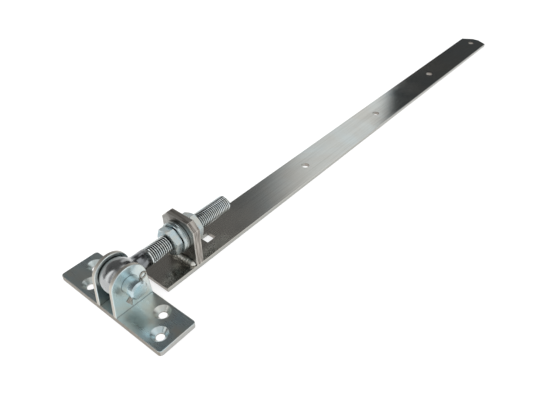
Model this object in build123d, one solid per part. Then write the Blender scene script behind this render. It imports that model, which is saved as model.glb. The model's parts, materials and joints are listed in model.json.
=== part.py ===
from build123d import *
import math
import os

# Adjustable gate hinge: a post plate with two ears, an eyebolt that swings on
# their pin, and a long strap whose upright lug is clamped on the eyebolt's
# thread between two nuts.  Millimetres.  The origin is the centre of the post
# plate's back face, +X runs along the strap to its tip, +Y along the pin
# towards its head, and +Z from the back faces towards the ears.

# ---- driving dimensions -------------------------------------------------
# post plate
PLATE_WIDTH = 38.0
PLATE_LENGTH = 130.0
PLATE_THICKNESS = 5.0
PLATE_CORNER_RADIUS = 3.0
PLATE_EDGE_BREAK = 0.4
SCREW_HOLE_DIAMETER = 7.5
COUNTERSINK_DIAMETER = 15.0
COUNTERSINK_ANGLE = 90.0
INNER_SCREW_X = 9.0
INNER_SCREW_Y = -36.0
OUTER_SCREW_X = -7.0
OUTER_SCREW_Y = -51.0

# ears and pin
PIN_HEIGHT = 30.0
EAR_THICKNESS = 4.0
EAR_HEAD_RADIUS = 17.0
EAR_EDGE_BREAK = 0.5
TENON_WIDTH = 20.0
SIDE_CLEARANCE = 0.4
PIN_DIAMETER = 15.9
PIN_HEAD_DIAMETER = 24.0
PIN_HEAD_THICKNESS = 3.5
PIN_HEAD_BREAK = 0.8
PIN_TAIL = 12.8
PIN_CHAMFER = 1.4
RUNNING_CLEARANCE = 0.05

# split pin
SPLIT_PIN_DIAMETER = 3.6
SPLIT_PIN_FROM_TIP = 5.2
SPLIT_PIN_ANGLE = 43.0
SPLIT_LOOP_RADIUS = 2.7
SPLIT_LEG_REACH = 3.6
SPLIT_BEND_RADIUS = 4.0
SPLIT_BEND_SMALL = 10.0
SPLIT_BEND_LARGE = 36.0

# eyebolt
SHANK_DIAMETER = 16.0
EYE_BALL_DIAMETER = 32.0
EYE_WIDTH = 17.0
EYE_NECK_RADIUS = 8.0
EYEBOLT_REACH = 124.0
SHANK_END_CHAMFER = 2.2

# nuts and washers
NUT_ACROSS_FLATS = 24.0
NUT_HEIGHT = 8.0
NUT_TURN = 43.0
NUT_CHAMFER_ANGLE = 30.0
WASHER_DIAMETER = 30.0
WASHER_THICKNESS = 3.0
WASHER_BORE = 17.0
WASHER_EDGE_BREAK = 0.4
FRONT_WASHER_COUNT = 2

# lug and its welds
LUG_FRONT = 64.0
LUG_THICKNESS = 8.0
LUG_ABOVE_AXIS = 19.0
LUG_CORNER_CUT = 7.0
LUG_BORE = 17.5
LUG_EDGE_BREAK = 0.5
FRONT_WELD_LEG = 6.0
REAR_WELD_LEG = 4.5
WELD_END_MARGIN = 1.5

# strap
STRAP_START = 29.0
STRAP_LENGTH = 710.0
STRAP_WIDTH = 40.0
STRAP_THICKNESS = 4.0
STRAP_EDGE_BREAK = 0.4
TIP_CUT_LENGTH = 9.5
TIP_FLAT_WIDTH = 10.0
SQUARE_HOLE_FROM_START = 68.0
SQUARE_HOLE_SIDE = 10.5
STRAP_HOLE_PITCH = 155.5
STRAP_HOLE_COUNT = 4
STRAP_HOLE_DIAMETER = 9.0

# ---- sizes that follow --------------------------------------------------
PIN_RADIUS = PIN_DIAMETER / 2
PIN_BORE_RADIUS = PIN_RADIUS + RUNNING_CLEARANCE
SHANK_RADIUS = SHANK_DIAMETER / 2
EAR_INNER = EYE_WIDTH / 2 + SIDE_CLEARANCE
EAR_OUTER = EAR_INNER + EAR_THICKNESS
PIN_TIP = -EAR_OUTER - PIN_TAIL
SPLIT_PIN_Y = PIN_TIP + SPLIT_PIN_FROM_TIP
LUG_BACK = LUG_FRONT + LUG_THICKNESS
SQUARE_HOLE_X = STRAP_START + SQUARE_HOLE_FROM_START

PIN_CENTRE = Vector(0, 0, PIN_HEIGHT)


def along_x(start, length, radius):
    """A round bar on the eyebolt's axis, from start towards +X."""
    disc = Plane((start, 0, PIN_HEIGHT), x_dir=(0, 1, 0), z_dir=(1, 0, 0)) * Circle(radius)
    return extrude(disc, length)


def along_y(start, length, radius):
    """A round bar on the pin's axis, from start towards +Y."""
    disc = Plane((0, start, PIN_HEIGHT), x_dir=(1, 0, 0), z_dir=(0, 1, 0)) * Circle(radius)
    return extrude(disc, length)


# ---- post plate ---------------------------------------------------------
def screw_places():
    """Two staggered screws on each side; the far pair is the near pair turned half round."""
    near = [(INNER_SCREW_X, INNER_SCREW_Y), (OUTER_SCREW_X, OUTER_SCREW_Y)]
    return near + [(-x, -y) for x, y in near]


def tenon_box(side):
    """The stub of an ear that passes through the post plate."""
    centre_y = side * (EAR_INNER + EAR_THICKNESS / 2)
    stub = Pos(0, centre_y, 0) * Rectangle(TENON_WIDTH, EAR_THICKNESS)
    return extrude(stub, PLATE_THICKNESS)


def make_post_plate():
    plate = extrude(RectangleRounded(PLATE_WIDTH, PLATE_LENGTH, PLATE_CORNER_RADIUS), PLATE_THICKNESS)
    plate = chamfer(plate.faces().sort_by(Axis.Z)[-1].outer_wire().edges(), PLATE_EDGE_BREAK)
    sink_depth = (COUNTERSINK_DIAMETER - SCREW_HOLE_DIAMETER) / 2
    sink_depth /= math.tan(math.radians(COUNTERSINK_ANGLE / 2))
    for x, y in screw_places():
        hole = Pos(x, y, PLATE_THICKNESS / 2) * Cylinder(SCREW_HOLE_DIAMETER / 2, PLATE_THICKNESS)
        sink = Pos(x, y, PLATE_THICKNESS - sink_depth / 2) * Cone(
            SCREW_HOLE_DIAMETER / 2, COUNTERSINK_DIAMETER / 2, sink_depth)
        plate -= hole + sink
    return plate - tenon_box(1) - tenon_box(-1)


# ---- ears ---------------------------------------------------------------
def ear_outline():
    """A round head with straight sides that spread to the full width of the plate."""
    foot_x = PLATE_WIDTH / 2
    drop = PIN_HEIGHT - PLATE_THICKNESS
    reach = math.hypot(foot_x, drop)
    tangent_angle = math.acos(EAR_HEAD_RADIUS / reach) - math.atan2(drop, foot_x)
    touch = (EAR_HEAD_RADIUS * math.cos(tangent_angle), EAR_HEAD_RADIUS * math.sin(tangent_angle))
    right = Line((foot_x, -drop), touch)
    head = ThreePointArc(touch, (0, EAR_HEAD_RADIUS), (-touch[0], touch[1]))
    left = Line((-touch[0], touch[1]), (-foot_x, -drop))
    foot = Line((-foot_x, -drop), (foot_x, -drop))
    return make_face([right, head, left, foot])


def make_ear(side):
    """side is 1 for the ear by the pin's head and -1 for the ear by its split pin."""
    low_y = EAR_INNER if side > 0 else -EAR_OUTER
    back = Plane((0, low_y + EAR_THICKNESS, PIN_HEIGHT), x_dir=(1, 0, 0), z_dir=(0, -1, 0))
    ear = extrude(back * ear_outline(), EAR_THICKNESS)
    rims = list(ear.edges().filter_by(GeomType.CIRCLE))
    sides = [edge for edge in ear.edges().filter_by(GeomType.LINE)
             if abs(edge.tangent_at(0.5).Y) < 0.5 and abs(edge.tangent_at(0.5).Z) > 0.5]
    ear = chamfer(rims + sides, EAR_EDGE_BREAK)
    ear += tenon_box(side)
    return ear - along_y(low_y, EAR_THICKNESS, PIN_BORE_RADIUS)


# ---- hinge pin and split pin --------------------------------------------
def split_direction():
    angle = math.radians(SPLIT_PIN_ANGLE)
    return Vector(math.cos(angle), 0, math.sin(angle))


def split_pin_bar(low, high):
    """A round bar along the split pin's hole, measured from the hinge pin's axis."""
    start = Vector(0, SPLIT_PIN_Y, PIN_HEIGHT) + split_direction() * low
    disc = Plane(start, x_dir=(0, 1, 0), z_dir=split_direction()) * Circle(SPLIT_PIN_DIAMETER / 2)
    return extrude(disc, high - low)


def make_hinge_pin():
    pin = along_y(PIN_TIP, EAR_OUTER - PIN_TIP, PIN_RADIUS)
    pin = chamfer(pin.faces().sort_by(Axis.Y)[0].edges(), PIN_CHAMFER)
    head = along_y(EAR_OUTER, PIN_HEAD_THICKNESS, PIN_HEAD_DIAMETER / 2)
    head = chamfer(head.faces().sort_by(Axis.Y)[-1].edges(), PIN_HEAD_BREAK)
    return pin + head - split_pin_bar(-2 * PIN_RADIUS, 2 * PIN_RADIUS)


def split_leg(side, bend):
    """Half of the doubled wire, bent away from the other half past the hinge pin."""
    wire_radius = SPLIT_PIN_DIAMETER / 2
    start = Plane(Vector(0, SPLIT_PIN_Y, PIN_HEIGHT) + split_direction() * (PIN_RADIUS + 0.5),
                  x_dir=(0, 1, 0), z_dir=-split_direction())
    # in this plane +y points across the two halves
    half = start * make_face([
        ThreePointArc((-wire_radius, 0), (0, side * wire_radius), (wire_radius, 0)),
        Line((wire_radius, 0), (-wire_radius, 0))])
    straight_length = 2 * PIN_RADIUS + 1.0
    bar = extrude(half, straight_length)
    corner = start.origin + start.z_dir * straight_length
    hinge_line = Axis(corner + start.y_dir * side * SPLIT_BEND_RADIUS, start.x_dir)
    end_face = bar.faces().sort_by(Axis(corner, start.z_dir))[-1]
    turned = revolve(end_face, hinge_line, side * -bend)
    tip_face = max(turned.faces().filter_by(GeomType.PLANE),
                   key=lambda face: (face.center() - corner).length)
    return bar + turned + extrude(tip_face, SPLIT_LEG_REACH, dir=tip_face.normal_at())


def make_split_pin():
    loop_centre = Vector(0, SPLIT_PIN_Y, PIN_HEIGHT) + split_direction() * (
        PIN_RADIUS + SPLIT_LOOP_RADIUS + SPLIT_PIN_DIAMETER / 4 + 0.3)
    loop_plane = Plane(loop_centre, x_dir=split_direction(), z_dir=(0, 1, 0))
    loop = loop_plane * Torus(SPLIT_LOOP_RADIUS, SPLIT_PIN_DIAMETER / 4)
    return loop + split_leg(1, SPLIT_BEND_LARGE) + split_leg(-1, SPLIT_BEND_SMALL)


# ---- eyebolt ------------------------------------------------------------
def make_eyebolt():
    """A ball forged on the bar and cut to two flat cheeks, with a neck blended into the shank."""
    ball = EYE_BALL_DIAMETER / 2
    blend_height = SHANK_RADIUS + EYE_NECK_RADIUS
    blend_reach = math.sqrt((ball + EYE_NECK_RADIUS) ** 2 - blend_height ** 2)
    share = ball / (ball + EYE_NECK_RADIUS)
    ball_touch = (blend_reach * share, blend_height * share)
    shank_touch = (blend_reach, SHANK_RADIUS)
    middle = (math.radians(-90) + math.radians(-180) + math.atan2(blend_height, blend_reach)) / 2
    neck_middle = (blend_reach + EYE_NECK_RADIUS * math.cos(middle),
                   blend_height + EYE_NECK_RADIUS * math.sin(middle))
    chamfer_start = EYEBOLT_REACH - SHANK_END_CHAMFER
    tip_radius = SHANK_RADIUS - SHANK_END_CHAMFER
    outline = make_face([
        ThreePointArc((-ball, 0), (0, ball), ball_touch),
        ThreePointArc(ball_touch, neck_middle, shank_touch),
        Line(shank_touch, (chamfer_start, SHANK_RADIUS)),
        Line((chamfer_start, SHANK_RADIUS), (EYEBOLT_REACH, tip_radius)),
        Line((EYEBOLT_REACH, tip_radius), (EYEBOLT_REACH, 0)),
        Line((EYEBOLT_REACH, 0), (-ball, 0))])
    upright = Plane(PIN_CENTRE, x_dir=(1, 0, 0), z_dir=(0, -1, 0))
    bolt = revolve(upright * outline, Axis(PIN_CENTRE, (1, 0, 0)), 360)
    cheeks = Pos(0, 0, PIN_HEIGHT) * Box(3 * EYEBOLT_REACH, EYE_WIDTH, 2 * EYE_BALL_DIAMETER)
    bolt = bolt & cheeks
    return bolt - along_y(-EYE_WIDTH, 2 * EYE_WIDTH, PIN_BORE_RADIUS)


# ---- nuts and washers ---------------------------------------------------
def make_nut(start):
    """A thin hexagon nut with both faces turned to a cone at the corners."""
    face_plane = Plane((start, 0, PIN_HEIGHT), x_dir=(0, 1, 0), z_dir=(1, 0, 0))
    hexagon = face_plane * (Rot(0, 0, NUT_TURN) * RegularPolygon(
        NUT_ACROSS_FLATS / 2, 6, major_radius=False))
    corner_radius = NUT_ACROSS_FLATS / 2 / math.cos(math.radians(30))
    face_radius = NUT_ACROSS_FLATS / 2 * 0.96
    drop = (corner_radius - face_radius) * math.tan(math.radians(NUT_CHAMFER_ANGLE))
    outline = make_face(Polyline(
        (start, 0), (start, face_radius), (start + drop, corner_radius),
        (start + NUT_HEIGHT - drop, corner_radius), (start + NUT_HEIGHT, face_radius),
        (start + NUT_HEIGHT, 0), close=True))
    upright = Plane((0, 0, PIN_HEIGHT), x_dir=(1, 0, 0), z_dir=(0, -1, 0))
    turned = revolve(upright * outline, Axis(PIN_CENTRE, (1, 0, 0)), 360)
    nut = extrude(hexagon, NUT_HEIGHT) & turned
    return nut - along_x(start, NUT_HEIGHT, SHANK_RADIUS + RUNNING_CLEARANCE)


def make_washer(start):
    washer = along_x(start, WASHER_THICKNESS, WASHER_DIAMETER / 2)
    washer = chamfer(washer.edges().filter_by(GeomType.CIRCLE), WASHER_EDGE_BREAK)
    return washer - along_x(start, WASHER_THICKNESS, WASHER_BORE / 2)


# ---- strap, lug and welds -----------------------------------------------
def make_strap():
    half = STRAP_WIDTH / 2
    tip = STRAP_START + STRAP_LENGTH
    shoulder = tip - TIP_CUT_LENGTH
    outline = make_face(Polyline(
        (STRAP_START, -half), (shoulder, -half), (tip, -TIP_FLAT_WIDTH / 2),
        (tip, TIP_FLAT_WIDTH / 2), (shoulder, half), (STRAP_START, half), close=True))
    strap = extrude(outline, STRAP_THICKNESS)
    strap = chamfer(strap.faces().sort_by(Axis.Z)[-1].edges(), STRAP_EDGE_BREAK)
    square = Pos(SQUARE_HOLE_X, 0, STRAP_THICKNESS / 2) * Box(
        SQUARE_HOLE_SIDE, SQUARE_HOLE_SIDE, STRAP_THICKNESS)
    strap -= square
    for number in range(1, STRAP_HOLE_COUNT + 1):
        x = SQUARE_HOLE_X + number * STRAP_HOLE_PITCH
        strap -= Pos(x, 0, STRAP_THICKNESS / 2) * Cylinder(STRAP_HOLE_DIAMETER / 2, STRAP_THICKNESS)
    return strap


def make_lug():
    half = STRAP_WIDTH / 2
    top = PIN_HEIGHT + LUG_ABOVE_AXIS
    outline = make_face(Polyline(
        (-half, STRAP_THICKNESS), (half, STRAP_THICKNESS), (half, top - LUG_CORNER_CUT),
        (half - LUG_CORNER_CUT, top), (LUG_CORNER_CUT - half, top),
        (-half, top - LUG_CORNER_CUT), close=True))
    lug = extrude(Plane((LUG_FRONT, 0, 0), x_dir=(0, 1, 0), z_dir=(1, 0, 0)) * outline, LUG_THICKNESS)
    upper = [edge for edge in lug.edges() if abs(edge.tangent_at(0.5).X) < 0.5
             and edge.center().Z > STRAP_THICKNESS + LUG_EDGE_BREAK]
    lug = chamfer(upper, LUG_EDGE_BREAK)
    return lug - along_x(LUG_FRONT, LUG_THICKNESS, LUG_BORE / 2)


def make_weld(x, leg, side):
    """A slightly hollow fillet weld along the foot of the lug; side -1 is its front."""
    start = Vector(x, -STRAP_WIDTH / 2 + WELD_END_MARGIN, STRAP_THICKNESS)
    length = STRAP_WIDTH - 2 * WELD_END_MARGIN
    upright = Plane(start, x_dir=(1, 0, 0), z_dir=(0, -1, 0))
    bow = leg * 0.42
    outline = make_face([
        Line((0, 0), (side * leg, 0)),
        ThreePointArc((side * leg, 0), (side * bow, bow), (0, leg)),
        Line((0, leg), (0, 0))])
    return extrude(upright * outline, -length)


# ---- the assembly -------------------------------------------------------
nodes = {
    "post_plate": make_post_plate(),
    "near_ear": make_ear(-1),
    "far_ear": make_ear(1),
    "hinge_pin": make_hinge_pin(),
    "split_pin": make_split_pin(),
    "eyebolt": make_eyebolt(),
    "strap": make_strap(),
    "lug": make_lug(),
    "front_weld": make_weld(LUG_FRONT, FRONT_WELD_LEG, -1),
    "rear_weld": make_weld(LUG_BACK, REAR_WELD_LEG, 1),
    "front_nut": make_nut(LUG_FRONT - FRONT_WASHER_COUNT * WASHER_THICKNESS - NUT_HEIGHT),
    "rear_washer": make_washer(LUG_BACK),
    "rear_nut": make_nut(LUG_BACK + WASHER_THICKNESS),
}
for number in range(1, FRONT_WASHER_COUNT + 1):
    nodes[f"front_washer_{number}"] = make_washer(LUG_FRONT - number * WASHER_THICKNESS)

os.makedirs("parts", exist_ok=True)
for name, solid in nodes.items():
    solid.label = name
    export_step(solid, f"parts/{name}.step")
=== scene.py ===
# %% [markdown]
# An adjustable gate hinge in bright zinc plate: a post plate with two ears, an eyebolt
# that swings on their pin, and a long strap clamped on the eyebolt's thread by two nuts.
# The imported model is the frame.  Its pieces keep their places, and this lesson gives them
# their finish, cuts the thread and lays the weld beads.

# %% Load the frame
import json
import math

import bmesh
import bpy
import numpy as np
from mathutils import Matrix, Vector


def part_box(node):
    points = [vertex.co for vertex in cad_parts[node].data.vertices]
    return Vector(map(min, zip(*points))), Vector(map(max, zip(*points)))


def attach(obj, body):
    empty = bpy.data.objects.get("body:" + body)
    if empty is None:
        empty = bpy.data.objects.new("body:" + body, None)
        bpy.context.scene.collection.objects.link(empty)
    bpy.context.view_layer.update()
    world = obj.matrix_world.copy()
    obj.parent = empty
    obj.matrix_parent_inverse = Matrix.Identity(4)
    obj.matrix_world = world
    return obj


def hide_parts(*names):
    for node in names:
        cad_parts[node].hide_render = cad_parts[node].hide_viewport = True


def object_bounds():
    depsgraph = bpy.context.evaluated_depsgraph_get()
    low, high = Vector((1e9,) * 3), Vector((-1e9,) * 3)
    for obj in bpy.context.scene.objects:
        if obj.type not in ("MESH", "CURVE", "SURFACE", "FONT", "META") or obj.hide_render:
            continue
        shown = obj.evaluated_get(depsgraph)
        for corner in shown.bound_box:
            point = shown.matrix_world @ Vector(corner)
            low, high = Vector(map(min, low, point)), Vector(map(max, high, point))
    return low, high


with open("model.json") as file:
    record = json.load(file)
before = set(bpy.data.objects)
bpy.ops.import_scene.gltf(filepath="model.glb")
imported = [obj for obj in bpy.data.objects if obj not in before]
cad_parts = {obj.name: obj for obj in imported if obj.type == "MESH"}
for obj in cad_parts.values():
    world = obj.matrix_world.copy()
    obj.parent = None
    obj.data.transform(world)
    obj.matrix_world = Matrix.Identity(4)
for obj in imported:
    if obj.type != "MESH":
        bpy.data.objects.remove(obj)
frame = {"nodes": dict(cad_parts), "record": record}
cad_box = [[float(value) for value in corner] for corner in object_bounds()]
scene = bpy.context.scene
MM = 0.001
print("solids cover", cad_box)

# %% [markdown]
# Every later place comes from the boxes of the solids.  The eyebolt's box gives the
# height of its axis and its end, and the welds' boxes give the feet of the beads.  The
# thread is the coarse one for a 16 mm bar.

# %% Measure the eyebolt
eye_low, eye_high = (np.array(corner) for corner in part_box("eyebolt"))
AXIS_Z = float(eye_low[2] + eye_high[2]) / 2
BOLT_END = float(eye_high[0])
SHANK_RADIUS = 8 * MM
THREAD_START = 28 * MM
THREAD_PITCH = 2 * MM
THREAD_DEPTH = 0.6134 * THREAD_PITCH
END_CHAMFER = 2.2 * MM
print("bolt axis at", AXIS_Z, "bolt end at", BOLT_END)


# %% [markdown]
# A surface here is a grid of points worked out with numpy.  One helper turns a grid into
# a closed mesh: it joins the last column to the first, and closes both ends with a fan.
# Lofting curves would do the same, but a grid keeps every point where its formula says.

# %% Grid to mesh
def mesh_from_rings(name, rings):
    """rings[i, j] is point j of closed ring i; faces join neighbours, and each end is a fan."""
    count, around = rings.shape[:2]
    centres = np.stack([rings[0].mean(0), rings[-1].mean(0)])
    points = np.concatenate([rings.reshape(-1, 3), centres])
    row, column = np.meshgrid(np.arange(count - 1), np.arange(around), indexing="ij")
    after = (column + 1) % around
    quads = np.stack([row * around + column, row * around + after,
                      (row + 1) * around + after, (row + 1) * around + column], -1).reshape(-1, 4)
    spot = np.arange(around)
    next_spot = (spot + 1) % around
    last_row = (count - 1) * around
    first_centre, last_centre = np.full(around, count * around), np.full(around, count * around + 1)
    first = np.stack([next_spot, spot, first_centre], 1)
    last = np.stack([last_row + spot, last_row + next_spot, last_centre], 1)
    mesh = bpy.data.meshes.new(name)
    mesh.from_pydata(points.tolist(), [], quads.tolist() + first.tolist() + last.tolist())
    return mesh


def shade(mesh, sharp_degrees):
    """Smooth shading, with the edges that turn by more than the angle kept sharp."""
    mesh.shade_smooth()
    mesh.set_sharp_from_angle(angle=math.radians(sharp_degrees))


def add_piece(name, mesh, body, stands_for):
    """Puts a mesh in the scene; it rides on a body and stands for a plain solid."""
    piece = bpy.data.objects.new(name, mesh)
    scene.collection.objects.link(piece)
    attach(piece, body)
    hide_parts(stands_for)
    print(name, "has", len(mesh.polygons), "faces and stands for", stands_for)
    return piece


# %% [markdown]
# The thread is rolled into the bar.  Rows of the grid follow the helix, so that the
# crests and roots lie exactly on rows: a point at angle a of row k stands at the row's
# place plus the pitch times a over a full turn.  The radius falls from the crest to the
# root along straight flanks.  It fades out over the first turns, where the rolls leave
# the bar, and the cone at the tip cuts it off.

# %% The rolled thread
ROW_PLACE = np.array([0.0, 0.10, 0.20, 0.32, 0.45, 0.55, 0.65, 0.78, 0.90])  # in pitches
ROW_DEPTH = np.array([0.0, 0.0, 0.16, 0.60, 0.96, 1.0, 0.96, 0.60, 0.16])  # in thread depths
POINTS_A_TURN = 96
FADE_TURNS = 1.5


def crest_radius(x):
    """The bar's own radius at x: round stock, then a 45 degree cone at the tip."""
    return np.minimum(SHANK_RADIUS, SHANK_RADIUS - (x - (BOLT_END - END_CHAMFER)))


def thread_grid(start, end):
    """Rows of a right-hand thread along +X; radius = crest - depth * profile(row) * fade(x)."""
    turns = math.ceil((end - start) / THREAD_PITCH) + 2
    turn, row = np.meshgrid(np.arange(-1, turns), np.arange(len(ROW_PLACE)), indexing="ij")
    place = ((turn + ROW_PLACE[row]) * THREAD_PITCH + start).reshape(-1, 1)
    depth = ROW_DEPTH[row].reshape(-1, 1)
    # the last column is the first one again, a pitch further on
    angle = np.linspace(0, 2 * np.pi, POINTS_A_TURN + 1)[None, :]
    x = np.clip(place + THREAD_PITCH * angle / (2 * np.pi), start, end)
    fade = np.clip((x - start) / (FADE_TURNS * THREAD_PITCH), 0, 1)
    fade = fade * fade * (3 - 2 * fade)
    radius = np.minimum(SHANK_RADIUS - THREAD_DEPTH * depth * fade, crest_radius(x))
    return np.stack([x, radius * np.cos(angle), AXIS_Z + radius * np.sin(angle)], -1)


def thread_mesh(start, end):
    """The helical rows as an open sheet; each row's end meets the row one turn further on."""
    points = thread_grid(start, end)
    count, around = points.shape[:2]
    row, column = np.meshgrid(np.arange(count - 1), np.arange(around - 1), indexing="ij")
    quads = np.stack([row * around + column, row * around + column + 1,
                      (row + 1) * around + column + 1, (row + 1) * around + column], -1).reshape(-1, 4)
    mesh = bpy.data.meshes.new("thread")
    mesh.from_pydata(points.reshape(-1, 3).tolist(), [], quads.tolist())
    return mesh


rolled_thread = thread_mesh(THREAD_START, BOLT_END)
print("thread sheet has", len(rolled_thread.polygons), "faces")


# %% [markdown]
# The eye, its cheeks and the plain shank are already right in the frame.  A copy of that
# mesh is merged and cut off square where the thread begins, and the thread carries on
# from there.  The joined piece then stands for the plain bolt.

# %% The eyebolt
SAME_POINT = 0.5e-6
SEAM_GAP = 2e-6
SLIVER = 1e-6
BOLT_SHARP = 33


def cut_eye(start):
    """A merged copy of the eyebolt's solid, kept on the eye's side of x = start."""
    work = bmesh.new()
    work.from_mesh(frame["nodes"]["eyebolt"].data)
    bmesh.ops.remove_doubles(work, verts=work.verts, dist=SAME_POINT)
    everything = list(work.verts) + list(work.edges) + list(work.faces)
    bmesh.ops.bisect_plane(work, geom=everything, dist=1e-7, plane_co=(start, 0, 0),
                           plane_no=(1, 0, 0), clear_outer=True)
    return work


bolt_work = cut_eye(THREAD_START)
bolt_work.from_mesh(rolled_thread)
bmesh.ops.remove_doubles(bolt_work, verts=bolt_work.verts, dist=SEAM_GAP)
bmesh.ops.dissolve_degenerate(bolt_work, edges=bolt_work.edges, dist=SLIVER)
open_edges = [edge for edge in bolt_work.edges if edge.is_boundary]
print("open edges before closing", len(open_edges))
bmesh.ops.holes_fill(bolt_work, edges=open_edges, sides=0)
bmesh.ops.triangulate(bolt_work, faces=[face for face in bolt_work.faces if len(face.verts) > 4])
bmesh.ops.recalc_face_normals(bolt_work, faces=bolt_work.faces)
print("open edges after closing", sum(edge.is_boundary for edge in bolt_work.edges))
bolt_mesh = bpy.data.meshes.new("threaded_eyebolt")
bolt_work.to_mesh(bolt_mesh)
bolt_work.free()
shade(bolt_mesh, BOLT_SHARP)
threaded_eyebolt = add_piece("threaded_eyebolt", bolt_mesh, "eyebolt_body", "eyebolt")


# %% [markdown]
# The thread's roots are painted dark, partly for grease and partly as painted shade for the shadow in them,
# while the crests are worn bright.  A stored number per point, from nothing at the crest to one at the
# root, lets the finish follow the thread exactly.  Ambient occlusion would only guess at it.

# %% Depth below the crest
TIP_FACE = 1e-5


def mark_thread_depth(mesh):
    """Stores how far each point lies below the crest: (crest radius - own radius) / depth."""
    spots = np.empty(len(mesh.vertices) * 3)
    mesh.vertices.foreach_get("co", spots)
    x, y, z = spots.reshape(-1, 3).T
    below = (crest_radius(x) - np.hypot(y, z - AXIS_Z)) / THREAD_DEPTH
    threaded = (x > THREAD_START) & (x < BOLT_END - TIP_FACE)
    below = np.where(threaded, np.clip(below, 0, 1), 0)
    mesh.attributes.new("thread_depth", "FLOAT", "POINT").data.foreach_set("value", below)
    return below


thread_depth = mark_thread_depth(bolt_mesh)
print("points below half depth", int((thread_depth > 0.5).sum()))


# %% [markdown]
# A weld bead is metal that froze in small overlapping pools, so its face carries ripples
# and its width wanders a little.  The section is a quarter-round between lug and strap,
# and the bead's reach swells near both ends, where the torch dwelt, and closes there.

# %% The weld beads
BEAD_REACH = 0.72  # share of the plain fillet's leg
WANDER = 0.035
RIPPLES = 17
RIPPLE_HEIGHT = 0.035
RIPPLE_LAG = 0.018
END_SWELL = 0.10
SWELL_PLACE, SWELL_WIDTH = 0.07, 0.05
BEAD_BULGE = 0.16
BEAD_SHARP = 50


def bead_reach(along, sweep, seed):
    """reach = end round * (share + swell + wander + ripple), as shares of the fillet's leg."""
    phases = np.random.default_rng(seed).uniform(0, 2 * np.pi, 4)
    wander = sum(WANDER * np.sin(2 * np.pi * (n + 1.7) * along + phases[n]) for n in range(4))
    # each ripple is a shallow arc that lags at the middle of the bead's face
    lag = RIPPLE_LAG * np.sin(2 * sweep)
    ripple = RIPPLE_HEIGHT * np.abs(np.sin(np.pi * RIPPLES * (along - lag)))
    end_round = np.clip(1 - (2 * along - 1) ** 8, 0, 1) ** 0.5
    from_end = np.minimum(along, 1 - along)
    swell = END_SWELL * np.exp(-((from_end - SWELL_PLACE) / SWELL_WIDTH) ** 2)
    return end_round * (BEAD_REACH + swell + wander + ripple)


def weld_bead(name, node, side, seed):
    """Section point = leg * reach(y) * bulge(a) * (cos a, sin a), carried along the lug's foot."""
    low, high = (np.array(corner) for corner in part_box(node))
    foot_x = high[0] if side < 0 else low[0]
    leg = high[0] - low[0]
    along = np.linspace(0, 1, 161)[:, None]
    sweep = np.linspace(0, np.pi / 2, 13)[None, :]
    reach = leg * bead_reach(along, sweep, seed) * (1 + BEAD_BULGE * np.sin(2 * sweep))
    x = foot_x + side * reach * np.cos(sweep)
    z = low[2] + reach * np.sin(sweep)
    y = low[1] + (high[1] - low[1]) * along + 0 * sweep
    face = np.stack([x, y, z], -1)
    corner = np.stack([foot_x + 0 * along, y[:, :1], low[2] + 0 * along], -1)
    mesh = mesh_from_rings(name, np.concatenate([face, corner], 1))
    work = bmesh.new()
    work.from_mesh(mesh)
    bmesh.ops.remove_doubles(work, verts=work.verts, dist=SLIVER)
    bmesh.ops.dissolve_degenerate(work, edges=work.edges, dist=SLIVER)
    bmesh.ops.recalc_face_normals(work, faces=work.faces)
    work.to_mesh(mesh)
    work.free()
    shade(mesh, BEAD_SHARP)
    return add_piece(name, mesh, "strap_body", node)


front_bead = weld_bead("front_weld_bead", "front_weld", -1, 4)
rear_bead = weld_bead("rear_weld_bead", "rear_weld", 1, 9)


# %% [markdown]
# Shader helpers.  A small builder keeps node code short: it adds a node, sets its plain
# values and wires what is handed in.  A second one starts an empty group with named
# sockets, and a third places a group in a material with that material's own values.

# %% Node helpers
def set_input(tree, socket, value):
    """Wires the value if it is a socket, and otherwise sets it."""
    if isinstance(value, bpy.types.NodeSocket):
        tree.links.new(value, socket)
    else:
        socket.default_value = value


def add_node(tree, kind, settings=None, **inputs):
    """Adds a node; i0, i1 and so on are inputs by number, other names are inputs by label."""
    node = tree.nodes.new(kind)
    for name, value in (settings or {}).items():
        setattr(node, name, value)
    for name, value in inputs.items():
        key = int(name[1:]) if name[0] == "i" and name[1:].isdigit() else name.replace("_", " ")
        set_input(tree, node.inputs[key], value)
    return node


def math_node(tree, operation, *values):
    """A Math node's output for one to three values or sockets."""
    inputs = {"i%d" % n: value for n, value in enumerate(values)}
    return add_node(tree, "ShaderNodeMath", {"operation": operation}, **inputs).outputs[0]


def map_range(tree, value, start, end, **targets):
    """A share from 0 to 1 (or To Min to To Max) as the value goes from start to end."""
    return add_node(tree, "ShaderNodeMapRange", Value=value, From_Min=start, From_Max=end,
                    **targets).outputs[0]


def mixed(tree, share, first, second, blend="MIX"):
    """Mixes the second colour over the first by a share."""
    return add_node(tree, "ShaderNodeMix", {"data_type": "RGBA", "blend_type": blend},
                    i0=share, i6=first, i7=second).outputs[2]


FLOAT, COLOUR, VECTOR = "NodeSocketFloat", "NodeSocketColor", "NodeSocketVector"


def new_group(name, inputs, outputs):
    """An empty shader group with named sockets; each input entry is (name, kind, default)."""
    group = bpy.data.node_groups.new(name, "ShaderNodeTree")
    for label, kind, value in inputs:
        socket = group.interface.new_socket(label, in_out="INPUT", socket_type=kind)
        socket.default_value = value
    for label, kind in outputs:
        group.interface.new_socket(label, in_out="OUTPUT", socket_type=kind)
    return group, group.nodes.new("NodeGroupInput").outputs, group.nodes.new("NodeGroupOutput").inputs


def place_group(tree, group, **inputs):
    """Places a group in a material and hands it that material's values."""
    return add_node(tree, "ShaderNodeGroup", {"node_tree": group}, **inputs).outputs


print("helpers ready")

# %% [markdown]
# Bright zinc is a thin silver skin with a clear passivation film, so it isn't one grey.
# The film drifts between cool blue-green and warm straw in soft clouds, with finer
# speckles from the crystals.  The first group mixes two tints by a cloud and a speckle.

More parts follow.
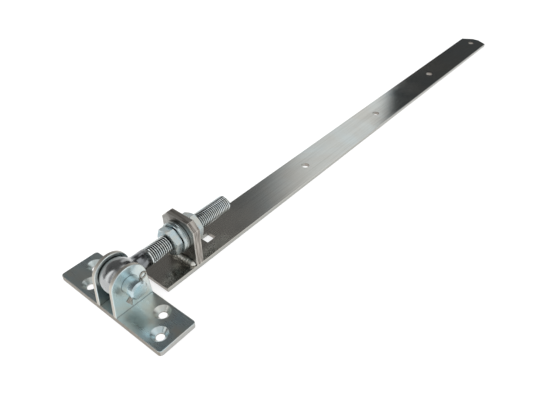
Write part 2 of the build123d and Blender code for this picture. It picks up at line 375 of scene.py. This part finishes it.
# %% Group: plating clouds
SPECKLE_SIZE = 1400.0
SPECKLE_SHADE = (0.35, 0.35, 0.35, 1)
cloud_group, given, result = new_group(
    "plating_clouds",
    [("Place", VECTOR, (0, 0, 0)), ("Cool", COLOUR, (0.6, 0.66, 0.66, 1)),
     ("Warm", COLOUR, (0.55, 0.53, 0.48, 1)), ("Cloud Size", FLOAT, 25.0), ("Speckle", FLOAT, 0.1)],
    [("Color", COLOUR), ("Cloud", FLOAT)])
clouds = add_node(cloud_group, "ShaderNodeTexNoise", Vector=given["Place"],
                  Scale=given["Cloud Size"], Detail=4.0, Roughness=0.55, Distortion=0.6)
cloud_share = map_range(cloud_group, clouds.outputs["Fac"], 0.36, 0.64)
speckles = add_node(cloud_group, "ShaderNodeTexNoise", Vector=given["Place"],
                    Scale=SPECKLE_SIZE, Detail=2.0)
speckle_share = math_node(cloud_group, "MULTIPLY", speckles.outputs["Fac"], given["Speckle"])
film = mixed(cloud_group, cloud_share, given["Cool"], given["Warm"])
film = mixed(cloud_group, speckle_share, film, SPECKLE_SHADE, "MULTIPLY")
cloud_group.links.new(film, result["Color"])
cloud_group.links.new(cloud_share, result["Cloud"])
print(cloud_group.name, "has", len(cloud_group.nodes), "nodes")

# %% [markdown]
# Flat stock comes off the rolls with fine lines along its length, and handling adds a few
# longer scratches.  Stretched noise gives both: the same noise, squeezed hard across the
# grain.  The group puts out a height for the bump and a mask for the roughness.

# %% Group: rolling lines and scratches
grain_group, given, result = new_group(
    "rolling_lines",
    [("Place", VECTOR, (0, 0, 0)), ("Stretch", VECTOR, (20, 900, 900)), ("Scratches", FLOAT, 0.5)],
    [("Height", FLOAT), ("Mask", FLOAT)])
stretched = add_node(grain_group, "ShaderNodeVectorMath", {"operation": "MULTIPLY"},
                     i0=given["Place"], i1=given["Stretch"]).outputs[0]
lines = add_node(grain_group, "ShaderNodeTexNoise", Vector=stretched,
                 Scale=1.0, Detail=3.0, Roughness=0.6).outputs["Fac"]
wide = add_node(grain_group, "ShaderNodeTexNoise", Vector=stretched,
                Scale=0.22, Detail=1.0).outputs["Fac"]
scratch = map_range(grain_group, wide, 0.66, 0.72)
scratch_drop = math_node(grain_group, "MULTIPLY", scratch, given["Scratches"])
grain_group.links.new(math_node(grain_group, "SUBTRACT", lines, scratch_drop), result["Height"])
grain_group.links.new(lines, result["Mask"])
print(grain_group.name, "has", len(grain_group.nodes), "nodes")

# %% [markdown]
# Edges get a painted highlight: their colour is mixed toward a bright tint, standing in for the light that
# sheared and turned edges catch.  The Bevel node looks a little way round each corner, and where its
# softened normal leaves the flat one there is an edge.

# %% Group: painted edge highlights
# Painted highlight: a share for mixing edges toward a bright colour.
edge_highlight_group, given, result = new_group(
    "painted_edge_highlights", [("Width", FLOAT, 0.0006), ("Strength", FLOAT, 1.0)], [("Edge", FLOAT)])
soft_normal = add_node(edge_highlight_group, "ShaderNodeBevel", {"samples": 6}, Radius=given["Width"])
plain_normal = add_node(edge_highlight_group, "ShaderNodeNewGeometry")
likeness = add_node(edge_highlight_group, "ShaderNodeVectorMath", {"operation": "DOT_PRODUCT"},
                    i0=soft_normal.outputs[0], i1=plain_normal.outputs["Normal"])
edge_highlight_share = map_range(edge_highlight_group, likeness.outputs["Value"], 0.995, 0.86)
edge_highlight_group.links.new(math_node(edge_highlight_group, "MULTIPLY", edge_highlight_share, given["Strength"]), result["Edge"])
print(edge_highlight_group.name, "has", len(edge_highlight_group.nodes), "nodes")

# %% [markdown]
# Corners where two pieces meet, and the gaps round nuts and washers, are darkened with painted shade, so
# they read as fine dark lines.  Ambient occlusion over a millimetre or two finds them.

# %% Group: painted corner shade
# Painted shade: places that ambient occlusion finds hidden are darkened.
corner_shade_group, given, result = new_group(
    "painted_corner_shade", [("Reach", FLOAT, 0.002), ("Strength", FLOAT, 0.8)], [("Shade", FLOAT)])
openness = add_node(corner_shade_group, "ShaderNodeAmbientOcclusion", {"samples": 8},
                    Distance=given["Reach"])
hidden = map_range(corner_shade_group, openness.outputs["AO"], 0.75, 0.35)
corner_shade_group.links.new(math_node(corner_shade_group, "MULTIPLY", hidden, given["Strength"]), result["Shade"])
print(corner_shade_group.name, "has", len(corner_shade_group.nodes), "nodes")


# %% [markdown]
# Some places of a piece differ from the rest.  The strap's near end and the bolt's eye are tinted darker
# and made rougher, and the bolt's bare neck is painted darker as a painted dark reflection.  Both are found
# by how far along the hinge a point lies, as a share that ramps up and down.

# %% Places along a piece
def along_piece(tree, place):
    """How far along +X a point lies, in metres."""
    return add_node(tree, "ShaderNodeSeparateXYZ", Vector=place).outputs["X"]


def dull_near_end(tree, place, ends, tint, extra_rough, colour, rough):
    """Tints and roughens the piece before ends[1], in full before ends[0]."""
    near = map_range(tree, along_piece(tree, place), ends[1], ends[0])
    return (mixed(tree, near, colour, (*tint, 1)),
            math_node(tree, "MULTIPLY_ADD", near, extra_rough, rough))


def painted_neck_reflection(tree, place, band, tint, colour):
    """Paints a dark reflection in a band that starts between band[0] and band[1] and ends between band[2]
    and [3].
    """
    along = along_piece(tree, place)
    enter = map_range(tree, along, band[0], band[1])
    leave = map_range(tree, along, band[3], band[2])
    return mixed(tree, math_node(tree, "MULTIPLY", enter, leave), colour, (*tint, 1))


print("places along a piece ready")


# %% [markdown]
# A sheared or sawn side never took the shine of the rolled face, so it is warmer and
# rougher.  The direction of the surface tells the two apart: a rolled face looks along
# one axis, and everything that turns away from it was cut.

# %% Cut sides
CUT_ROUGHER = 0.16


def cut_sides(tree, axis, tint, end_axis, end_tint, colour, rough):
    """Tints what turns away from axis, gives the sawn ends their own tint, and roughens both."""
    look = add_node(tree, "ShaderNodeTexCoord").outputs["Normal"]
    facing = add_node(tree, "ShaderNodeSeparateXYZ", Vector=look).outputs
    cut = map_range(tree, math_node(tree, "ABSOLUTE", facing[axis]), 0.75, 0.35)
    colour = mixed(tree, cut, colour, (*tint, 1))
    if end_axis is not None:
        end = map_range(tree, math_node(tree, "ABSOLUTE", facing[end_axis]), 0.6, 0.8)
        colour = mixed(tree, end, colour, (*end_tint, 1))
    return colour, math_node(tree, "MULTIPLY_ADD", cut, CUT_ROUGHER, rough)


print("cut sides ready")


# %% [markdown]
# One zinc function serves all the pieces, because they went through the same bath.  Each
# finish gives its own tints, the direction of its lines, how much its cut sides differ
# from its faces, and how rough it is.

# %% The zinc function
X_AXIS, Y_AXIS, Z_AXIS = 0, 1, 2
MILL_SCALE = (0.10, 0.085, 0.075, 1)
# The bright colour below is a painted edge highlight.
PAINTED_EDGE_HIGHLIGHT = (0.82, 0.80, 0.74, 1)
# The dark colour below is painted shade for where pieces meet.
PAINTED_CORNER_SHADE = (0.075, 0.085, 0.09, 1)
CLOUD_ROUGHER = 0.08
LINE_DEPTH = 0.00004


def zinc(name, cool, warm, roughness, stretch, cloud=22.0, speckle=0.12, lines=0.25,
         scratches=0.5, cut_axis=None, cut_tint=(0.42, 0.42, 0.39), end_axis=None,
         end_tint=(0.30, 0.27, 0.23), edge=0.45, edge_width=0.0005, root_grease_and_shade=None,
         near_end=None, near_tint=None, near_rough=0.0, neck=None, neck_reflection_tint=None, streaks=0.0):
    """A plated steel finish; cut_axis is the direction that the rolled faces look along."""
    material = bpy.data.materials.new(name)
    material.use_nodes = True
    tree = material.node_tree
    place = add_node(tree, "ShaderNodeTexCoord").outputs["Object"]
    film = place_group(tree, cloud_group, Place=place, Cool=(*cool, 1), Warm=(*warm, 1),
                       Cloud_Size=cloud, Speckle=speckle)
    grain = place_group(tree, grain_group, Place=place, Stretch=stretch, Scratches=scratches)
    edge_highlight = place_group(tree, edge_highlight_group, Width=edge_width, Strength=edge)
    corners = place_group(tree, corner_shade_group, Reach=0.0018, Strength=0.85)
    colour = film["Color"]
    rough = map_range(tree, grain["Mask"], 0.3, 0.7, To_Min=roughness * 0.8, To_Max=roughness * 1.2)
    rough = math_node(tree, "MULTIPLY_ADD", film["Cloud"], CLOUD_ROUGHER, rough)
    if near_end is not None:
        colour, rough = dull_near_end(tree, place, near_end, near_tint, near_rough, colour, rough)
    # The bare neck gets a painted dark reflection.
    if neck is not None:
        colour = painted_neck_reflection(tree, place, neck, neck_reflection_tint, colour)
    if cut_axis is not None:
        colour, rough = cut_sides(tree, cut_axis, cut_tint, end_axis, end_tint, colour, rough)
    if streaks:
        streak = map_range(tree, grain["Mask"], 0.44, 0.60, To_Max=streaks)
        colour = mixed(tree, streak, colour, MILL_SCALE)
    # Painted highlight: edges are mixed toward a bright colour.
    colour = mixed(tree, edge_highlight["Edge"], colour, PAINTED_EDGE_HIGHLIGHT)
    # The thread roots are painted dark: partly grease, partly painted shade.
    if root_grease_and_shade is not None:
        depth = add_node(tree, "ShaderNodeAttribute", {"attribute_name": "thread_depth"})
        root = map_range(tree, depth.outputs["Fac"], 0.28, 0.72)
        colour = mixed(tree, root, colour, (*root_grease_and_shade, 1))
    # Painted shade where pieces meet and in gaps, found by ambient occlusion.
    colour = mixed(tree, corners["Shade"], colour, PAINTED_CORNER_SHADE)
    bump = add_node(tree, "ShaderNodeBump", Height=grain["Height"], Strength=lines,
                    Distance=LINE_DEPTH)
    shader = tree.nodes["Principled BSDF"].inputs
    tree.links.new(colour, shader["Base Color"])
    tree.links.new(rough, shader["Roughness"])
    shader["Metallic"].default_value = 1.0
    tree.links.new(bump.outputs["Normal"], shader["Normal"])
    return material


print("zinc function ready")

# %% [markdown]
# The finishes.  Tints are given as cool and warm, then the roughness and how hard the
# lines are squeezed along X, Y and Z.  The strap is the smoothest, because it is bright
# drawn flat.  The lug was sawn from hot rolled bar, so dark scale shows through in streaks.

# %% The zinc finishes
# Each finish's edge value is the strength of its painted edge highlight.
FINISHES = {
    "strap_zinc": zinc("strap_zinc", (0.62, 0.68, 0.68), (0.63, 0.63, 0.59), 0.075, (9, 700, 300),
                       cloud=14.0, lines=0.18, cut_axis=Z_AXIS, end_axis=X_AXIS,
                       end_tint=(0.36, 0.33, 0.30), near_end=(0.10, 0.20),
                       near_tint=(0.55, 0.52, 0.47), near_rough=0.13, streaks=0.10),
    "bracket_zinc": zinc("bracket_zinc", (0.57, 0.71, 0.75), (0.66, 0.66, 0.60), 0.27,
                         (300, 12, 300), cloud=30.0, lines=0.25, scratches=0.3, cut_axis=Z_AXIS,
                         cut_tint=(0.46, 0.46, 0.44), end_axis=X_AXIS),
    "lug_zinc": zinc("lug_zinc", (0.39, 0.39, 0.37), (0.28, 0.27, 0.25), 0.26, (900, 30, 60),
                     cloud=70.0, lines=0.6, cut_axis=X_AXIS, cut_tint=(0.47, 0.44, 0.40),
                     edge=0.9, edge_width=0.0011, streaks=0.75),
    # The bolt's thread roots get painted shade, and its neck a painted dark reflection.
    "bolt_zinc": zinc("bolt_zinc", (0.80, 0.87, 0.89), (0.80, 0.82, 0.79), 0.17, (200, 200, 200),
                      cloud=90.0, lines=0.15, scratches=0.2, root_grease_and_shade=(0.02, 0.025, 0.028),
                      near_end=(0.018, 0.031), near_tint=(0.42, 0.43, 0.43),
                      neck=(0.012, 0.017, 0.026, 0.029), neck_reflection_tint=(0.21, 0.22, 0.23)),
    "turned_zinc": zinc("turned_zinc", (0.46, 0.57, 0.61), (0.54, 0.56, 0.53), 0.20,
                        (150, 150, 150), cloud=70.0, lines=0.15, scratches=0.2),
    "wire_zinc": zinc("wire_zinc", (0.40, 0.39, 0.36), (0.26, 0.24, 0.20), 0.17,
                      (200, 200, 200), cloud=120.0, edge=0.2),
    "weld_zinc": zinc("weld_zinc", (0.72, 0.72, 0.68), (0.46, 0.44, 0.38), 0.24, (300, 300, 300),
                      cloud=220.0, speckle=0.3, lines=0.3, edge=0.2),
}
print("finishes", sorted(FINISHES))

# %% [markdown]
# Three kinds of piece share a slot with others but were worked differently.  The ears
# stand across the plate's lines, the nuts are darker cold-formed steel, and the pin's
# turned end is brighter than the washers.

# %% Finishes of single pieces
EAR_ZINC = zinc("ear_zinc", (0.60, 0.73, 0.76), (0.68, 0.69, 0.64), 0.29, (300, 300, 12),
                cloud=30.0, lines=0.25, scratches=0.3, cut_axis=Y_AXIS,
                cut_tint=(0.58, 0.55, 0.49))
NUT_ZINC = zinc("nut_zinc", (0.42, 0.52, 0.56), (0.52, 0.53, 0.49), 0.23, (150, 150, 150),
                cloud=110.0, lines=0.2, scratches=0.2, edge=0.7)
PIN_ZINC = zinc("pin_zinc", (0.56, 0.69, 0.73), (0.62, 0.64, 0.60), 0.22, (150, 150, 150),
                cloud=70.0, lines=0.15, scratches=0.3)
OWN_FINISH = {"hinge_pin": PIN_ZINC, "near_ear": EAR_ZINC, "far_ear": EAR_ZINC,
              "front_nut": NUT_ZINC, "rear_nut": NUT_ZINC}
print("own finishes for", sorted(OWN_FINISH))

# %% [markdown]
# Each solid carries a slot name in the record, so its finish is found by that name.  The
# three new pieces name the slot that they take their finish from.

# %% Dress the solids and the new pieces
for part in frame["record"]["subparts"]:
    finish = OWN_FINISH.get(part["node"], FINISHES[part["material_slot"]])
    for place in frame["nodes"][part["node"]].material_slots:
        place.material = finish
for piece, slot in ((threaded_eyebolt, "bolt_zinc"), (front_bead, "weld_zinc"),
                    (rear_bead, "weld_zinc")):
    piece.data.materials.append(FINISHES[slot])
    print(piece.name, "wears", slot)

# %% [markdown]
# The floor is a plain pale sheet.  Seen by the camera and in reflections it glows a
# little, so that it reads as white paper while it still takes the hinge's soft shadow.

# %% Floor
FLOOR_SIZE = 40.0
FLOOR_GAP = 0.2 * MM
PAPER_SHADE = (0.38, 0.38, 0.38, 1)
PAPER_GLOW = 0.72
half = FLOOR_SIZE / 2
floor_z = cad_box[0][2] - FLOOR_GAP
floor_mesh = bpy.data.meshes.new("floor")
floor_mesh.from_pydata([(-half, -half, floor_z), (half, -half, floor_z), (half, half, floor_z),
                        (-half, half, floor_z)], [], [(0, 1, 2, 3)])
floor = bpy.data.objects.new("floor", floor_mesh)
scene.collection.objects.link(floor)
paper = bpy.data.materials.new("paper")
paper.use_nodes = True
paper_tree = paper.node_tree
paper_shader = paper_tree.nodes["Principled BSDF"].inputs
paper_shader["Base Color"].default_value = PAPER_SHADE
paper_shader["Roughness"].default_value = 0.9
paper_shader["Emission Color"].default_value = (1, 1, 1, 1)
rays = add_node(paper_tree, "ShaderNodeLightPath").outputs
seen = math_node(paper_tree, "MAXIMUM", rays["Is Camera Ray"], rays["Is Glossy Ray"])
paper_tree.links.new(math_node(paper_tree, "MULTIPLY", seen, PAPER_GLOW), paper_shader["Emission Strength"])
floor_mesh.materials.append(paper)
print("floor at", floor_z)

# %% [markdown]
# Plated steel shows the room more than it shows itself.  So the world is a studio of tall
# white screens with dark gaps between them, laid out by compass angle, under a dim
# ceiling.  A hard screen edge gives the sharp change of tone across the strap.  Three
# rings of screens stand one above the other.

# %% The studio's screens
TOP_SCREENS = [  # compass angle from +X in degrees, brightness well above eye level
    (-180, 0.30), (-172, 0.80), (-100, 0.80), (-84, 1.35), (-44, 1.35), (-28, 1.25), (-6, 1.15),
    (4, 0.12), (30, 0.12), (56, 0.15), (86, 0.15), (146, 0.08), (150, 1.6), (169, 1.6),
    (173, 0.14), (180, 0.30)]
HIGH_SCREENS = [  # the same a little above eye level
    (-180, 0.30), (-172, 0.80), (-98, 0.80), (-84, 0.95), (-30, 1.05), (-18, 0.22), (-8, 0.12),
    (25.5, 0.05), (25.8, 1.02), (28, 0.92), (33, 0.86), (36, 0.80), (38, 0.52), (41, 0.20),
    (45, 0.12), (56, 0.15), (86, 0.15), (118, 0.20), (146, 0.08), (150, 1.6), (169, 1.6),
    (173, 0.14), (180, 0.30)]
LOW_SCREENS = [  # and near the horizon
    (-180, 0.30), (-172, 0.80), (-104, 0.80), (-84, 0.90), (-46, 0.90), (-28, 0.40), (-8, 0.12),
    (25.5, 0.05), (25.8, 1.0), (36, 0.80), (42, 0.40), (58, 0.70), (128, 0.62), (138, 0.16),
    (146, 0.12), (150, 1.5), (169, 1.5), (174, 0.25), (180, 0.30)]
CEILING = (0.14, 0.14, 0.14, 1)
WHITE = (1, 1, 1, 1)
print("screen stops", len(TOP_SCREENS), len(HIGH_SCREENS), len(LOW_SCREENS))

# %% [markdown]
# The direction of view gives the compass angle and the height.  A colour ramp round the
# compass makes each ring, and the height blends one ring into the next.  The camera
# itself sees plain white, and only the steel sees the screens.

# %% Studio world
world = bpy.data.worlds.new("studio")
world.use_nodes = True
scene.world = world
sky = world.node_tree
sky.nodes.clear()
look = add_node(sky, "ShaderNodeTexCoord").outputs["Generated"]
view = add_node(sky, "ShaderNodeSeparateXYZ", Vector=look).outputs
compass = math_node(sky, "ARCTAN2", view["Y"], view["X"])
turn_share = map_range(sky, compass, -math.pi, math.pi)


def screen_ring(levels):
    """A colour ramp round the compass; each entry of levels is one stop."""
    ring = add_node(sky, "ShaderNodeValToRGB", Fac=turn_share)
    stops = ring.color_ramp.elements
    stops[0].position, stops[1].position = 0.0, 1.0
    for angle, _ in levels[1:-1]:
        stops.new((angle + 180) / 360)
    for stop, (_, level) in zip(stops, levels):
        stop.color = (level, level * 1.005, level * 1.01, 1)
    return ring.outputs["Color"]


def stacked(below, above, start, end):
    """Blends one ring of screens into the next between two heights of the view direction."""
    return mixed(sky, map_range(sky, view["Z"], start, end), below, above)


walls = stacked(screen_ring(LOW_SCREENS), screen_ring(HIGH_SCREENS), 0.36, 0.42)
walls = stacked(walls, screen_ring(TOP_SCREENS), 0.64, 0.70)
room = stacked(walls, CEILING, 0.88, 0.98)
paths = add_node(sky, "ShaderNodeLightPath").outputs
backdrop = mixed(sky, paths["Is Camera Ray"], room, WHITE)
background = add_node(sky, "ShaderNodeBackground", Color=backdrop, Strength=1.0)
sky_out = add_node(sky, "ShaderNodeOutputWorld")
sky.links.new(background.outputs[0], sky_out.inputs["Surface"])
print("studio has", len(sky.nodes), "nodes")


# %% [markdown]
# Two soft lamps cast the hinge's shadow on the paper.  They are hidden from reflections,
# because their plain rectangles would show as patches in the zinc.

# %% Lamps
def soft_lamp(name, place, aim, size, power):
    """An area lamp at place that looks at aim; size is its width and height in metres."""
    lamp = bpy.data.lights.new(name, "AREA")
    lamp.shape = "RECTANGLE"
    lamp.size, lamp.size_y = size
    lamp.energy = power
    holder = bpy.data.objects.new(name, lamp)
    scene.collection.objects.link(holder)
    direction = Vector(aim) - Vector(place)
    holder.rotation_euler = direction.to_track_quat("-Z", "Y").to_euler()
    holder.location = place
    holder.visible_glossy = False
    print(name, "gives", power, "W")


soft_lamp("overhead", (0.0, 0.25, 1.5), (0.2, 0, 0), (1.6, 1.2), 14)
soft_lamp("left_key", (-1.1, 0.5, 0.9), (0.1, 0, 0.03), (0.5, 0.5), 3)

# %% [markdown]
# The camera stands low over the near corner of the post plate and looks along the strap,
# which makes the plate large and lets the strap run away.

# %% Camera
CAMERA_PLACE = Vector((-0.1493, -0.2854, 0.3388))
CAMERA_AIM = Vector((0.1887, -0.0144, 0.0))
SENSOR_WIDTH = 36.0
FOCAL_LENGTH = 33.705
NEAREST = 10 * MM
forward = (CAMERA_AIM - CAMERA_PLACE).normalized()
right = forward.cross(Vector((0, 0, 1))).normalized()
upward = right.cross(forward)
lens = bpy.data.cameras.new("camera")
lens.sensor_width = SENSOR_WIDTH
lens.lens = FOCAL_LENGTH
lens.clip_start = NEAREST
camera = bpy.data.objects.new("camera", lens)
scene.collection.objects.link(camera)
turn = Matrix((right, upward, -forward)).transposed()
camera.matrix_world = Matrix.Translation(CAMERA_PLACE) @ turn.to_4x4()
scene.camera = camera
scene.view_settings.view_transform = "Standard"
print("camera looks along", [round(value, 3) for value in forward])
